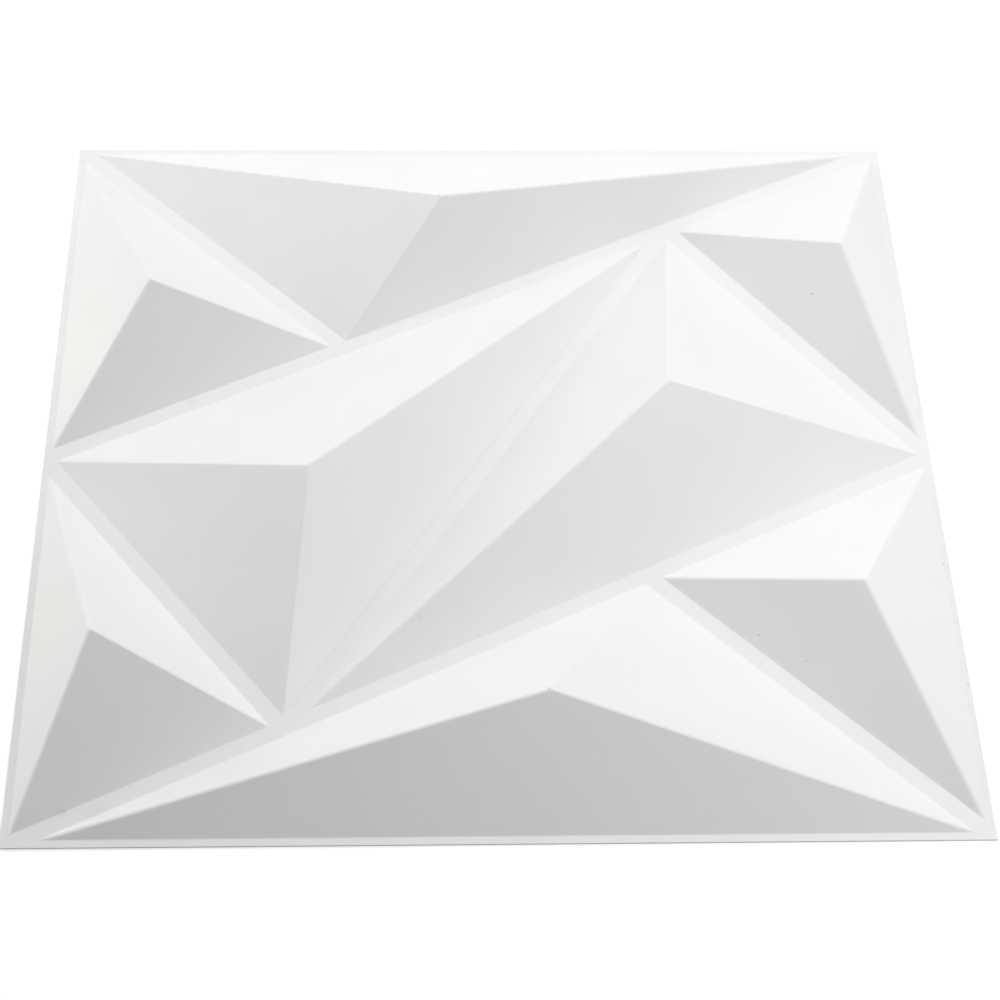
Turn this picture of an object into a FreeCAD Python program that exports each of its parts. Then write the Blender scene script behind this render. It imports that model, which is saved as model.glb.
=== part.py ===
"""A square decorative wall panel, vacuum formed from one thin sheet of white PVC.

The sheet is drawn over a mould with eight three-sided peaks, which leaves each peak
hollow at the back, with narrow flat strips between the peaks and a flat border round
them. Then it is trimmed to its square. One half of the pattern is the other half turned
by half a turn, so the panel looks the same with either end up.

Millimetres. Z = 0 is the back of the flat strips, which is glued to the wall, and +Z
points into the room. The origin is the middle of the square. +X is to the right and +Y
is up when the panel is seen from the front, with the long strip rising to the right.
"""
import FreeCAD, Part
import os

V = FreeCAD.Vector

# The sheet
panel_side = 500.0
sheet_thickness = 1.0

# The relief, as seen on the front
peak_height = 31.4  # above the strips, to where the three facets of a peak would meet
strip_width = 9.4  # flat between neighbouring peaks
border_width = 4.3  # flat along the panel's four sides

# The bends, on their inner side, where the sheet turns most tightly
ridge_bend_radius = 1.0  # along the ridges, at the back
foot_bend_radius = 1.0  # round the foot of each peak, at the front

# The strips: the long one runs from the left side's middle to the top right corner, a
# second crosses it from the top left corner, and the third leaves it at the branch
branch_from_right = 138.8

# The peaks of one half, each placed from the panel's sides or from its middle
top_peak_left_of_middle = 25.2
top_peak_from_top = 72.0
left_peak_from_left = 54.8
left_peak_from_top = 140.5
right_peak_from_right = 39.5
right_peak_from_top = 111.5
middle_peak_left_of_middle = 100.7
middle_peak_below_middle = 30.6

# A point counts as lying on a plane within this distance
on_plane = 1e-6


def turned(point):
    """The same point of the panel's other half."""
    return V(-point.x, -point.y, point.z)


def line_through(start, end):
    """A line of the plan, as its unit normal on the left of its way and its offset."""
    way = (end - start).normalize()
    normal = V(-way.y, way.x, 0)
    return normal, normal.dot(start)


def crossing(first, second):
    """The point where two lines of the plan cross."""
    (a, offset_a), (b, offset_b) = first, second
    turn = a.x * b.y - a.y * b.x
    return V((offset_a * b.y - offset_b * a.y) / turn, (a.x * offset_b - b.x * offset_a) / turn, 0)


def meeting_point(first, second, third):
    """The point that three planes share, each given as its unit normal and its offset."""
    (a, offset_a), (b, offset_b), (c, offset_c) = first, second, third
    point = b.cross(c) * offset_a + c.cross(a) * offset_b + a.cross(b) * offset_c
    return point * (1 / a.dot(b.cross(c)))


def plan():
    """The eight fields of the panel, one for each peak.

    A field is a triangle of the plan whose sides lie on the middle lines of the strips or
    on the panel's own sides. It is given as its corners, counter-clockwise, as the width
    of the flat inside the side that starts at each corner, and as the peak's place.
    """
    half = panel_side / 2
    strip = strip_width / 2
    border = border_width
    top_left = V(-half, half, 0)
    top_right = V(half, half, 0)
    left_middle = V(-half, 0, 0)
    right_middle = V(half, 0, 0)

    long_strip = line_through(left_middle, top_right)
    second_strip = line_through(top_left, turned(top_left))
    fork = crossing(long_strip, second_strip)
    branch_x = half - branch_from_right
    branch = crossing(long_strip, line_through(V(branch_x, 0, 0), V(branch_x, half, 0)))

    top_peak = V(-top_peak_left_of_middle, half - top_peak_from_top, 0)
    left_peak = V(left_peak_from_left - half, half - left_peak_from_top, 0)
    right_peak = V(half - right_peak_from_right, half - right_peak_from_top, 0)
    middle_peak = V(-middle_peak_left_of_middle, -middle_peak_below_middle, 0)

    one_half = [
        ([top_left, fork, top_right], [strip, strip, border], top_peak),
        ([top_left, left_middle, fork], [border, strip, strip], left_peak),
        ([top_right, branch, right_middle], [strip, strip, border], right_peak),
        ([left_middle, turned(branch), branch], [strip, strip, strip], middle_peak),
    ]
    other_half = []
    for corners, flats, peak in one_half:
        other_half.append(([turned(corner) for corner in corners], flats, turned(peak)))
    return one_half + other_half


def facet_planes(field, depth):
    """The planes of a peak's three facets, sunk into the sheet by depth."""
    corners, flats, peak = field
    tip = V(peak.x, peak.y, sheet_thickness + peak_height)
    planes = []
    for i in range(3):
        inward, offset = line_through(corners[i], corners[(i + 1) % 3])
        run = inward.dot(peak) - offset - flats[i]
        normal = V(-inward.x * peak_height, -inward.y * peak_height, run).normalize()
        planes.append((normal, normal.dot(tip) - depth))
    return planes


def peak_solid(planes, foot_z, ridge_radius):
    """A solid three-sided peak that stands on foot_z, with its ridges and tip rounded."""
    ground = (V(0, 0, 1), foot_z)
    tip = meeting_point(*planes)
    feet = [meeting_point(planes[i - 1], planes[i], ground) for i in range(3)]
    outlines = [feet[::-1]] + [[feet[i], feet[(i + 1) % 3], tip] for i in range(3)]
    faces = [Part.Face(Part.makePolygon(outline + outline[:1])) for outline in outlines]
    peak = Part.Solid(Part.Shell(faces))
    ridges = []
    for edge in peak.Edges:
        to_tip = min(end.Point.distanceToPoint(tip) for end in edge.Vertexes)
        if to_tip < on_plane:
            ridges.append(edge)
    return peak.makeFillet(ridge_radius, ridges)


def foot_edges(solid, level):
    """The edges in which the peaks meet the flat that they stand on."""
    side = panel_side / 2
    feet = []
    for edge in solid.Edges:
        box = edge.BoundBox
        in_flat = abs(box.ZMin - level) < on_plane and abs(box.ZMax - level) < on_plane
        inside = max(box.XMax, box.YMax, -box.XMin, -box.YMin) < side - on_plane
        if in_flat and inside:
            feet.append(edge)
    return feet


def form(depth):
    """A solid whose top is the surface that lies depth below the front of the sheet.

    With no depth that is the front itself, and with the sheet's whole thickness it is
    the back. A ridge gets tighter with depth and the bend at a foot gets wider, so the
    sheet keeps its thickness round both.
    """
    level = sheet_thickness - depth
    low_corner = V(-panel_side / 2, -panel_side / 2, level - sheet_thickness)
    slab = Part.makeBox(panel_side, panel_side, sheet_thickness, low_corner)
    # Each peak is rooted halfway down the slab
    root_z = level - sheet_thickness / 2
    ridge_radius = ridge_bend_radius + sheet_thickness - depth
    peaks = [peak_solid(facet_planes(field, depth), root_z, ridge_radius) for field in plan()]
    solid = slab.fuse(peaks).removeSplitter().Solids[0]
    return solid.makeFillet(foot_bend_radius + depth, foot_edges(solid, level))


def wall_panel():
    """The sheet between its front and its back, trimmed to the square."""
    return form(0).cut(form(sheet_thickness)).Solids[0]


def main():
    os.makedirs("parts", exist_ok=True)
    panel = wall_panel()
    panel.exportStep("parts/wall_panel.step")
    box = panel.BoundBox
    print("wall_panel valid", panel.isValid(), "faces", len(panel.Faces))
    print("size %.2f x %.2f x %.2f mm" % (box.XLength, box.YLength, box.ZLength))
    print("volume %.1f cm3" % (panel.Volume / 1000))


main()
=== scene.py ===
# %% [markdown]
# # A pressed wall panel in white PVC
#
# The object is a square decorative wall panel. A thin sheet of white PVC is warmed until it
# is soft, drawn over a mould with eight three-sided peaks by a vacuum, and trimmed. So it
# is one piece all over, one millimetre thick, and hollow behind every peak. In this lesson
# the sheet is cut, raised and rounded with bmesh operators and modifiers, and gets a
# procedural finish. Then come a floor, soft light and the camera.
#
# The frame comes first: the solid model of the panel, which fixes its size and its place.

# %% Load the frame
import math

import bmesh
import bpy
from mathutils import Matrix, Quaternion, Vector
from mathutils.bvhtree import BVHTree


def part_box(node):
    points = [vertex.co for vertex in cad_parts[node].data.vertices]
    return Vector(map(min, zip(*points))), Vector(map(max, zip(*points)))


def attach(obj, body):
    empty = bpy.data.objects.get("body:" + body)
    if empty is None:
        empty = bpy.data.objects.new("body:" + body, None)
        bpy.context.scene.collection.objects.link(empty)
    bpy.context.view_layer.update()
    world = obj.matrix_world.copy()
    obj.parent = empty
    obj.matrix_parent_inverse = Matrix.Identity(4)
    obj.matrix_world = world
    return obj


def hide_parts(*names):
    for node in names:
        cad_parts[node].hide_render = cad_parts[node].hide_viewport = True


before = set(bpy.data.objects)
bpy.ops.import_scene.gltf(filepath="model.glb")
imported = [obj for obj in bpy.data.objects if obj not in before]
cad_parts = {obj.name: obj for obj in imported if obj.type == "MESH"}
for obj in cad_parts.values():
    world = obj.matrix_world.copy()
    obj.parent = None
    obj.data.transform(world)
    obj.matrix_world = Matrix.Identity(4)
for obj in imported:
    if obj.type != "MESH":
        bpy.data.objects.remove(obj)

MM = 0.001
scene = bpy.context.scene
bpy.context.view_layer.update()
low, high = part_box("wall_panel")
side = high.x - low.x
print("panel", round(side / MM, 1), "mm square and", round((high.z - low.z) / MM, 1), "mm high")

# %% [markdown]
# ## The plan of the relief
#
# Seen from the front, the square is shared out among eight triangles. Their sides are the
# middle lines of the flat strips, or the panel's own sides. One half of the pattern is the
# other half after half a turn, so only four triangles are written down here and the rest
# are turned copies. A list of named places is the clearest way to hold such a pattern,
# because each place can be read off the real panel with a ruler.

# %% Name the sizes of the relief
half = side / 2
sheet_thickness = 1.0 * MM
peak_height = 31.4 * MM
strip_width = 9.4 * MM
border_width = 4.3 * MM
branch_from_right = 138.8 * MM
# The bends, on the front of the sheet, and the rounding of its trimmed rim
ridge_radius = 3.0 * MM
foot_radius = 2.0 * MM
rim_radius = 0.35 * MM


def turned(point):
    """The same point of the panel's other half."""
    return Vector((-point.x, -point.y, point.z))


def on_long_strip(x):
    """The point of the long strip's middle line at x. It rises by half of its run."""
    return Vector((x, (x + half) / 2, 0))


top_left = Vector((-half, half, 0))
top_right = Vector((half, half, 0))
left_middle = Vector((-half, 0, 0))
right_middle = Vector((half, 0, 0))
fork = on_long_strip(-half / 3)
branch = on_long_strip(half - branch_from_right)
print("fork at", round(fork.x / MM, 1), round(fork.y / MM, 1), "mm")
print("branch at", round(branch.x / MM, 1), round(branch.y / MM, 1), "mm")

# %% Name the four triangles of one half
strip = strip_width / 2
border = border_width
one_half = [
    {
        "corners": [top_left, fork, top_right],
        "flats": [strip, strip, border],
        "peak": Vector((-25.2 * MM, half - 72.0 * MM, 0)),
    },
    {
        "corners": [top_left, left_middle, fork],
        "flats": [border, strip, strip],
        "peak": Vector((54.8 * MM - half, half - 140.5 * MM, 0)),
    },
    {
        "corners": [top_right, branch, right_middle],
        "flats": [strip, strip, border],
        "peak": Vector((half - 39.5 * MM, half - 111.5 * MM, 0)),
    },
    {
        "corners": [left_middle, turned(branch), branch],
        "flats": [strip, strip, strip],
        "peak": Vector((-100.7 * MM, -30.6 * MM, 0)),
    },
]
other_half = [
    {
        "corners": [turned(corner) for corner in field["corners"]],
        "flats": field["flats"],
        "peak": turned(field["peak"]),
    }
    for field in one_half
]
fields = one_half + other_half
print("triangles in the plan:", len(fields))

# %% [markdown]
# ## The flat sheet, cut along the strips
#
# The sheet starts as one square face. `bisect_plane` cuts it as a knife and ruler would,
# and only the faces that it is given, so a cut can stop at another one. The other way is to
# write all the corners down, but then every strip's width would be hidden in them.

# %% Cut the square into eight triangles
sheet = bmesh.new()
bmesh.ops.create_grid(sheet, x_segments=1, y_segments=1, size=half)
# A corner counts as lying on a cut within this distance
on_cut = 0.0001 * MM


def face_at(bm, point):
    """The face of the flat sheet that a point lies in."""
    return next(face for face in bm.faces if bmesh.geometry.intersect_face_point(face, point))


def cut(bm, faces, start, end):
    """Cut only these faces, upright, along the line from start to end."""
    way = end - start
    geometry = set(faces)
    for face in faces:
        geometry.update(face.edges, face.verts)
    across = Vector((-way.y, way.x, 0))
    bmesh.ops.bisect_plane(
        bm, geom=list(geometry), dist=on_cut, plane_co=start, plane_no=across
    )


cut(sheet, sheet.faces[:], left_middle, top_right)
cut(sheet, sheet.faces[:], right_middle, turned(top_right))
# A place in the band between the two long cuts. It stays in the face that is cut next.
middle_band = Vector((0.1 * half, 0, 0))
for point, start, end in (
    (one_half[0]["peak"], top_left, fork),
    (other_half[0]["peak"], turned(top_left), turned(fork)),
    (middle_band, branch, right_middle),
    (middle_band, turned(branch), left_middle),
    (middle_band, turned(branch), branch),
):
    cut(sheet, [face_at(sheet, point)], start, end)
print("the square is cut into", len(sheet.faces), "triangles")

# %% [markdown]
# ## The strips, the border and the peaks
#
# Each triangle loses a flat along its three sides, again with the knife. What stays in the
# middle is the foot of a peak. `poke` gives it a point with an edge to each corner, and the
# point is then lifted to where the three facets meet. That keeps every facet truly flat.

# %% Cut off the flats and raise the peaks
for field in fields:
    corners, peak = field["corners"], field["peak"]
    for i in range(3):
        way = (corners[(i + 1) % 3] - corners[i]).normalized()
        inward = Vector((-way.y, way.x, 0)) * field["flats"][i]
        cut(sheet, [face_at(sheet, peak)], corners[i] + inward, corners[(i + 1) % 3] + inward)
    tip = bmesh.ops.poke(sheet, faces=[face_at(sheet, peak)])["verts"][0]
    tip.co = peak + Vector((0, 0, peak_height))
bmesh.ops.translate(sheet, verts=sheet.verts[:], vec=Vector((0, 0, sheet_thickness)))
sheet.normal_update()
print("raised sheet:", len(sheet.faces), "faces")

# %% [markdown]
# ## How round each edge is
#
# A warm sheet can't fold sharply. It bends round the mould's ridges with one radius and into
# the foot of each facet with a smaller one. A Bevel modifier can round them all in one go if
# each edge carries its own weight. For a bend of radius r through an angle a, the bevel
# starts r tan(a / 2) from the edge, so that length is each edge's share of the widest one.

# %% Weigh the ridges and the feet
def turn_of(edge):
    """The angle that the sheet turns through at an edge, and zero on the outline."""
    if len(edge.link_faces) < 2:
        return 0.0
    return edge.link_faces[0].normal.angle(edge.link_faces[1].normal)


weight = sheet.edges.layers.float.new("bevel_weight_edge")
widest = ridge_radius
# An edge that turns by less than this lies in a flat
least_turn = math.radians(3)
counts = {"ridges": 0, "feet": 0}
for edge in sheet.edges:
    turn = turn_of(edge)
    if turn < least_turn:
        continue
    is_ridge = max(vert.co.z for vert in edge.verts) > peak_height / 2
    radius = ridge_radius if is_ridge else foot_radius
    edge[weight] = radius * math.tan(turn / 2) / widest
    counts["ridges" if is_ridge else "feet"] += 1
print("edges to round:", counts)

# %% Make the sheet an object
sheet_mesh = bpy.data.meshes.new("pressed_sheet")
sheet.to_mesh(sheet_mesh)
sheet.free()
pressed_sheet = bpy.data.objects.new("pressed_sheet", sheet_mesh)
scene.collection.objects.link(pressed_sheet)

# The flat steps that make up a bend
bend_steps = 5
rounding = pressed_sheet.modifiers.new("rounding", "BEVEL")
rounding.limit_method = "WEIGHT"
rounding.offset_type = "OFFSET"
rounding.width = widest
rounding.segments = bend_steps
rounding.profile = 0.5
rounding.use_clamp_overlap = False
rounding.loop_slide = False
rounding.harden_normals = True
print("widest bend", round(widest / MM, 1), "mm, in", bend_steps, "steps")

# %% [markdown]
# ## The sheet's thickness and its trimmed edge
#
# Solidify gives the sheet its back. Even thickness keeps one millimetre on the slopes too,
# so the bends get tighter behind the ridges and wider behind the feet, as in the real sheet.
# A second, small bevel takes the knife edge off the trimmed outline.

# %% Thicken and trim
thickening = pressed_sheet.modifiers.new("thickening", "SOLIDIFY")
thickening.thickness = sheet_thickness
thickening.offset = -1
thickening.use_even_offset = True

# Only the rim turns by more than this angle
rim_turn = math.radians(75)
rim_steps = 3
trimming = pressed_sheet.modifiers.new("trimming", "BEVEL")
trimming.limit_method = "ANGLE"
trimming.angle_limit = rim_turn
trimming.width = rim_radius
trimming.segments = rim_steps
trimming.profile = 0.5
trimming.harden_normals = True
print("rim rounded by", round(rim_radius / MM, 2), "mm")

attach(pressed_sheet, "root")
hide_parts("wall_panel")

# %% [markdown]
# ## Does the sheet match the solid model?
#
# The lesson's sheet is made in another way than the solid, so the two are compared before
# the finish goes on. For each point of the finished sheet, a search tree of the solid's
# triangles gives the nearest point on it.

# %% Measure the sheet against the solid
finished = pressed_sheet.evaluated_get(bpy.context.evaluated_depsgraph_get())
finished_mesh = finished.to_mesh()
solid_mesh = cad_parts["wall_panel"].data
solid_tree = BVHTree.FromPolygons(
    [vert.co for vert in solid_mesh.vertices], [face.vertices for face in solid_mesh.polygons]
)
gaps = sorted(solid_tree.find_nearest(vert.co)[3] for vert in finished_mesh.vertices)
middle_gap = gaps[len(gaps) // 2] / MM
widest_gap = gaps[-1] / MM
print("finished sheet:", len(finished_mesh.vertices), "points")
print("middle gap", round(middle_gap, 3), "mm, widest gap", round(widest_gap, 3), "mm")
finished.to_mesh_clear()

# %% [markdown]
# ## Wiring nodes
#
# The finish is a tree of shader nodes. Three short helpers keep the later cells readable.
# One adds a node and feeds its inputs, one does a sum, and one makes a noise whose features
# have a given size. All patterns read Object coordinates, so they stay fixed to the sheet.

# %% Helpers for shader nodes
def add(tree, kind, inputs=None, **settings):
    """Add a node. Each input is a plain value, or the socket that feeds it."""
    node = tree.nodes.new(kind)
    for name, value in settings.items():
        setattr(node, name, value)
    for key, value in (inputs or {}).items():
        if isinstance(value, bpy.types.NodeSocket):
            tree.links.new(value, node.inputs[key])
        else:
            node.inputs[key].default_value = value
    return node


def math_of(tree, operation, first, second=0.0):
    """The result of one sum on one or two values or sockets."""
    return add(tree, "ShaderNodeMath", {0: first, 1: second}, operation=operation).outputs[0]


# A noise node's own values seldom lie outside these two
raw_low = 0.3
raw_high = 0.7


def noise(tree, place, feature, low_end, high_end, detail=2.0):
    """Noise with features of this size, in metres, spread from low_end to high_end."""
    source = {"Vector": place, "Scale": 1 / feature, "Detail": detail}
    raw = add(tree, "ShaderNodeTexNoise", source).outputs[0]
    spread = {"Value": raw, 1: raw_low, 2: raw_high, 3: low_end, 4: high_end}
    return add(tree, "ShaderNodeMapRange", spread).outputs[0]

# %% [markdown]
# ## The marks on the sheet
#
# A white sheet shows every speck. Some grit that was under the sheet stands up as tiny
# bumps, dirt has stuck to it, and the points of the two long peaks are rubbed dark. A faint
# line of painted shade follows the crease at the foot beside the middle strip. A round mark
# is dark within a distance of its middle. A long one gets a Mapping node too, which moves,
# turns and scales space so that the mark becomes a ball of radius one. A painted picture
# could do the same, but it would need a file and a flat map of the sheet.

# %% Where the marks are
# Place on the sheet in mm, width in mm, and darkness
specks = [
    ((234.9, 44.3, 7.7), 1.2, 0.15),
    ((204.4, 111.5, 18.6), 1.1, 0.08),
    ((138.0, -118.9, 6.0), 1.0, 0.11),
    ((163.3, -143.8, 6.1), 1.0, 0.2),
    ((106.3, -104.5, 1.0), 1.0, 0.1),
    ((126.4, -222.4, 11.8), 1.0, 0.1),
    ((126.5, -244.8, 1.4), 1.0, 0.16),
    ((246.5, -76.3, 1.0), 1.1, 0.2),
    ((-164.7, -74.4, 6.8), 1.2, 0.12),
    ((-184.3, -87.5, 1.0), 1.1, 0.14),
    ((-117.2, -77.5, 18.6), 1.2, 0.1),
    ((-151.6, -41.7, 16.8), 1.1, 0.08),
    ((-144.6, 87.4, 13.0), 1.0, 0.08),
    ((-71.0, -28.3, 20.8), 1.0, 0.07),
    ((76.6, 24.4, 24.1), 1.1, 0.12),
    ((136.8, -3.0, 16.2), 1.1, 0.08),
    ((91.4, 159.2, 1.4), 1.2, 0.24),
    ((-27.3, 178.4, 32.0), 1.1, 0.42),
    ((25.0, -177.6, 32.1), 1.1, 0.32),
]
smudges = [
    ((-169.6, 41.4, 1.0), 5.0, 0.07),
    ((-227.6, 204.7, 7.4), 5.0, 0.05),
    ((-220.3, -229.9, 1.2), 5.0, 0.07),
    ((-203.3, -229.5, 1.0), 9.0, 0.05),
]
# Place on the sheet in mm, length and width in mm, turn in degrees, and darkness. The last
# of them is painted shade along the crease at the foot beside the middle strip.
streaks_and_crease_shade = [
    ((193.0, 114.5, 13.9), 2.8, 1.1, 25, 0.27),
    ((140.1, -125.5, 4.2), 2.0, 1.1, 34, 0.2),
    ((209.1, 125.2, 26.4), 1.9, 0.8, 67, 0.08),
    ((-40.3, -115.0, 8.8), 4.9, 0.7, -42, 0.16),
    ((248.6, -155.8, 1.0), 2.9, 0.6, -84, 0.22),
    ((249.1, -195.5, 1.0), 3.7, 0.6, -90, 0.12),
    ((206.8, 195.9, 10.9), 6.1, 0.8, -9, 0.14),
    # Painted shade along the crease at the foot beside the middle strip
    ((-4.0, 2.5, 1.0), 370.0, 2.0, 58.4, 0.03),
]
# How soft the edge of each kind is, as a share of its radius
speck_edge = 0.35
smudge_edge = 0.7
streak_and_shade_edge = 0.4
print("marks:", len(specks), "specks,", len(smudges), "smudges and", len(streaks_and_crease_shade), "streaks_and_crease_shade")


def darker(tree, darkest, away, radius, soft, darkness):
    """The darkest so far, with one more soft-edged spot of this radius."""
    fade = {"Value": away, 1: radius * (1 + soft), 2: radius * (1 - soft), 3: 0.0, 4: darkness}
    spot = add(tree, "ShaderNodeMapRange", fade, interpolation_type="SMOOTHSTEP").outputs[0]
    return math_of(tree, "MAXIMUM", spot, darkest)


def round_marks(tree, place, marks, soft):
    """How dark the round marks make each place, from 0 for a clean one."""
    darkest = 0.0
    for middle, width, darkness in marks:
        ends = {0: place, 1: Vector(middle) * MM}
        away = add(tree, "ShaderNodeVectorMath", ends, operation="DISTANCE").outputs["Value"]
        darkest = darker(tree, darkest, away, width / 2 * MM, soft, darkness)
    return darkest


def long_marks(tree, place, marks, soft):
    """How dark the long marks of dirt and painted shade make each place, from 0 for a clean
    one.
    """
    darkest = 0.0
    for middle, length, width, turn, darkness in marks:
        ball = add(tree, "ShaderNodeMapping", {"Vector": place}, vector_type="TEXTURE")
        ball.inputs["Location"].default_value = Vector(middle) * MM
        ball.inputs["Rotation"].default_value = (0, 0, math.radians(turn))
        ball.inputs["Scale"].default_value = Vector((length, width, width)) / 2 * MM
        away = add(tree, "ShaderNodeVectorMath", {0: ball.outputs[0]}, operation="LENGTH")
        darkest = darker(tree, darkest, away.outputs["Value"], 1.0, soft, darkness)
    return darkest

# %% [markdown]
# ## White PVC
#
# Rigid PVC for such panels is white all through and matt. Seen closely it isn't one flat
# white: here it is a little cooler and there a little warmer, with faint clouds and a few
# specks in it. The colours differ by a hundredth, which the eye takes for a real material
# and not for a pattern.

# %% Colour of the sheet
cool_white = (0.857, 0.861, 0.869, 1)
warm_white = (0.865, 0.860, 0.860, 1)
warm_part = 140 * MM
cloud = 45 * MM
smear = 1.5 * MM
# The faint specks: the cells that they lie in, and their radii as shares of a cell
speck_cell = 24 * MM
clean_beyond = 0.024
darkest_within = 0.012
faint_darkness = 0.09
bare_cells = 0.5


def faint_specks(tree, place):
    """Tiny pale grey specks, one in about two cells of a Voronoi pattern."""
    cells = add(tree, "ShaderNodeTexVoronoi", {"Vector": place, "Scale": 1 / speck_cell})
    away = cells.outputs["Distance"]
    near = {"Value": away, 1: clean_beyond, 2: darkest_within, 3: 0.0, 4: faint_darkness}
    speck = add(tree, "ShaderNodeMapRange", near).outputs[0]
    chance = add(tree, "ShaderNodeSeparateColor", {0: cells.outputs["Color"]}).outputs[0]
    chosen = math_of(tree, "GREATER_THAN", chance, bare_cells)
    return math_of(tree, "MULTIPLY", speck, chosen)


def sheet_colour(tree, place):
    """White with faint cool and warm parts, clouds, specks, long marks, smudges and painted
    shade.
    """
    warmth = noise(tree, place, warm_part, 0.0, 1.0, detail=0)
    whites = {0: warmth, 6: cool_white, 7: warm_white}
    white = add(tree, "ShaderNodeMix", whites, data_type="RGBA").outputs[2]
    clouds = noise(tree, place, cloud, 0.990, 1.010)
    dark = round_marks(tree, place, specks, speck_edge)
    # The long marks are dirt and one line of painted shade along a crease
    dark = math_of(tree, "MAXIMUM", dark, long_marks(tree, place, streaks_and_crease_shade, streak_and_shade_edge))
    dark = math_of(tree, "MAXIMUM", dark, faint_specks(tree, place))
    blotch = noise(tree, place, smear, 0.2, 1.4, detail=1)
    smudged = round_marks(tree, place, smudges, smudge_edge)
    dark = math_of(tree, "MAXIMUM", dark, math_of(tree, "MULTIPLY", blotch, smudged))
    lightness = math_of(tree, "MULTIPLY", clouds, math_of(tree, "SUBTRACT", 1.0, dark))
    factors = {0: white, 1: lightness}
    return add(tree, "ShaderNodeVectorMath", factors, operation="MULTIPLY").outputs[0]

# %% [markdown]
# ## Shine, waves and grain
#
# The sheet was stretched over the mould, so it has long shallow waves, a skin like very fine
# orange peel, and a grain. Bump gives all three, because they are a tenth of a millimetre
# high at most and change no outline. A Bump node's distance is the height of its pattern,
# in metres here. The shine varies a little with the sheet's cooling and handling.

# %% Shine and bump of the sheet
pvc_ior = 1.53
cooled_part = 90 * MM
handled_spot = 2.5 * MM
# Waves, orange peel and grain: the size of their features, their height and their detail
relief = [
    (70 * MM, 0.11 * MM, 0),
    (5 * MM, 0.012 * MM, 1),
    (0.7 * MM, 0.006 * MM, 1),
]


def sheet_roughness(tree, place):
    """Matt, a little glossier in some parts and where it was handled."""
    broad = noise(tree, place, cooled_part, 0.44, 0.52, detail=0)
    fine = noise(tree, place, handled_spot, -0.03, 0.03, detail=1)
    return math_of(tree, "ADD", broad, fine)


def sheet_bump(tree, place):
    """Waves, orange peel and grain, one Bump node after another."""
    normal = None
    for feature, height, detail in relief:
        pattern = noise(tree, place, feature, 0.0, 1.0, detail)
        inputs = {"Strength": 1.0, "Distance": height, "Height": pattern}
        bump = add(tree, "ShaderNodeBump", inputs)
        if normal is not None:
            tree.links.new(normal, bump.inputs["Normal"])
        normal = bump.outputs[0]
    return normal


def white_pvc():
    """Matt white PVC, with all that the cells above give it."""
    material = bpy.data.materials.new("white_pvc")
    material.use_nodes = True
    tree = material.node_tree
    shader = tree.nodes["Principled BSDF"]
    shader.inputs["IOR"].default_value = pvc_ior
    place = add(tree, "ShaderNodeTexCoord").outputs["Object"]
    tree.links.new(sheet_colour(tree, place), shader.inputs["Base Color"])
    tree.links.new(sheet_roughness(tree, place), shader.inputs["Roughness"])
    tree.links.new(sheet_bump(tree, place), shader.inputs["Normal"])
    print("white_pvc has", len(tree.nodes), "nodes")
    return material


sheet_mesh.materials.append(white_pvc())

# %% [markdown]
# ## The studio
#
# The floor is a plain pale sheet of paper. A white background comes from a shader and not
# from more light: for rays that come from the camera, and for reflections, the floor and
# the world add a white glow of their own. Near the panel the floor's glow is weaker, so
# the panel's soft shadow stays, and farther away it grows until no horizon can be seen.

# %% White for the camera
def seen_directly(tree):
    """One for rays from the camera and for reflections, and zero for other rays."""
    path = add(tree, "ShaderNodeLightPath").outputs
    seen = math_of(tree, "MAXIMUM", path["Is Camera Ray"], path["Is Glossy Ray"])
    return math_of(tree, "MAXIMUM", seen, path["Is Transmission Ray"])


def floor_glow(tree, near_glow, near_end, far_start):
    """The floor's glow: near_glow within near_end of the middle, and one beyond far_start.

    Both distances are in metres.
    """
    place = add(tree, "ShaderNodeTexCoord").outputs["Object"]
    away = add(tree, "ShaderNodeVectorMath", {0: place}, operation="LENGTH").outputs["Value"]
    growth = {"Value": away, 1: near_end, 2: far_start, 3: near_glow, 4: 1.0}
    glow = add(tree, "ShaderNodeMapRange", growth, interpolation_type="SMOOTHSTEP").outputs[0]
    return math_of(tree, "MULTIPLY", seen_directly(tree), glow)

# %% Floor
full_white = (1, 1, 1, 1)
paper_white = (0.9, 0.9, 0.9, 1)
paper_roughness = 0.9
# From the middle to each side, in metres
floor_reach = 4.0
# A hair below the panel, so that the two never share a plane
just_below = Matrix.Translation((0, 0, -0.05 * MM))
floor_mesh = bpy.data.meshes.new("floor")
floor_bm = bmesh.new()
bmesh.ops.create_grid(
    floor_bm, x_segments=1, y_segments=1, size=floor_reach, matrix=just_below
)
floor_bm.to_mesh(floor_mesh)
floor_bm.free()
floor = bpy.data.objects.new("floor", floor_mesh)
scene.collection.objects.link(floor)
floor_paper = bpy.data.materials.new("floor_paper")
floor_paper.use_nodes = True
paper = floor_paper.node_tree.nodes["Principled BSDF"]
paper.inputs["Base Color"].default_value = paper_white
paper.inputs["Roughness"].default_value = paper_roughness
paper.inputs["Emission Color"].default_value = full_white
glow = floor_glow(floor_paper.node_tree, near_glow=0.42, near_end=0.6, far_start=1.8)
floor_paper.node_tree.links.new(glow, paper.inputs["Emission Strength"])
floor_mesh.materials.append(floor_paper)
print("floor:", 2 * floor_reach, "m square")

# %% [markdown]
# ## Light
#
# The panel's relief only shows if its sides face different amounts of light. So the world
# gives little, and large soft lamps stand round the panel, most of them behind it and to
# its sides. Each is placed by its direction, seen from above and clockwise from behind,
# and by its height as an angle. Their sum is about one on a level surface, so that a colour
# renders as it is written.

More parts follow.
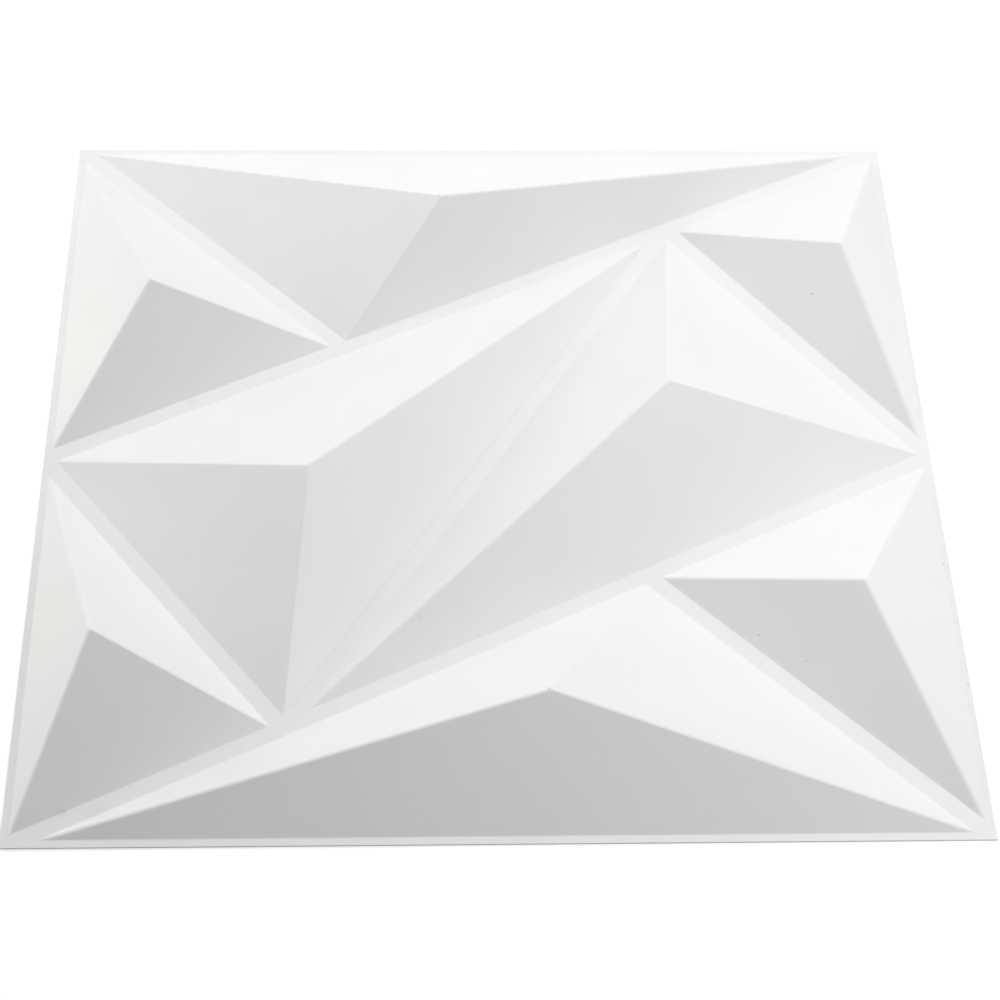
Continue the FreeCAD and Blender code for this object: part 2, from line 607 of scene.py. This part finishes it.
# %% World
world = bpy.data.worlds.new("studio")
scene.world = world
world.use_nodes = True
world_strength = 0.1
world_tree = world.node_tree
white_if_seen = math_of(world_tree, "MAXIMUM", seen_directly(world_tree), world_strength)
background = world_tree.nodes["Background"]
background.inputs["Color"].default_value = full_white
world_tree.links.new(white_if_seen, background.inputs["Strength"])
print("world:", world_strength, "as a light, and white where it is seen")

# %% Lamps
# Name, direction and height in degrees, distance and size in metres, watts, and tint
lamps = [
    ("back_window", 0, 35, 2.5, 1.2, 15.0, (0.985, 0.992, 1.023)),
    ("back_right", 45, 35, 2.5, 1.2, 12.2, (0.976, 0.999, 1.025)),
    ("back_left", 338, 35, 0.8, 0.4, 0.42, (1.102, 0.915, 0.983)),
    ("back_low", 22, 20, 1.3, 0.8, 0.98, (0.891, 1.119, 0.992)),
    ("right_top", 90, 60, 0.8, 0.4, 1.14, (0.984, 1.015, 1.0)),
    ("right_front", 112, 45, 1.3, 0.8, 5.61, (1.04, 0.984, 0.977)),
    ("left_side", 292, 20, 1.3, 0.8, 6.65, (1.022, 1.015, 0.963)),
    ("left_low", 270, 12, 2.5, 1.2, 8.36, (1.024, 1.007, 0.969)),
]


def soft_lamp(name, direction, height, distance, size, watts, tint):
    """A square lamp that faces the middle of the panel."""
    data = bpy.data.lights.new(name, "AREA")
    data.shape = "SQUARE"
    data.size = size
    data.energy = watts
    data.color = tint
    lamp = bpy.data.objects.new(name, data)
    around = math.radians(direction)
    up = math.radians(height)
    level = math.cos(up)
    away = Vector((math.sin(around) * level, math.cos(around) * level, math.sin(up)))
    lamp.location = away * distance
    lamp.rotation_mode = "QUATERNION"
    lamp.rotation_quaternion = (-away).to_track_quat("-Z", "Y")
    scene.collection.objects.link(lamp)


for values in lamps:
    soft_lamp(*values)
print("lamps:", ", ".join(values[0] for values in lamps))

# %% [markdown]
# ## Camera
#
# The camera looks down on the panel from the front with a long lens, a little turned and
# tilted. Its place, aim and roll are those that make the panel's outline and strips lie
# where a photograph from this angle shows them.

# %% Camera
camera_data = bpy.data.cameras.new("camera")
camera = bpy.data.objects.new("camera", camera_data)
scene.collection.objects.link(camera)
scene.camera = camera
# Both in millimetres of film
camera_data.sensor_width = 36
camera_data.lens = 87.9
camera_place = Vector((-46.2, -874.8, 1062.3)) * MM
camera_aim = Vector((4.7, -30.4, 1.0)) * MM
camera_roll = math.radians(2.5)
look = (camera_aim - camera_place).normalized()
camera.location = camera_place
camera.rotation_mode = "QUATERNION"
camera.rotation_quaternion = Quaternion(look, -camera_roll) @ look.to_track_quat("-Z", "Y")
scene.view_settings.view_transform = "Standard"
distance = (camera_aim - camera_place).length
print("camera:", round(distance, 2), "m away, with a lens of", round(camera_data.lens, 1), "mm")
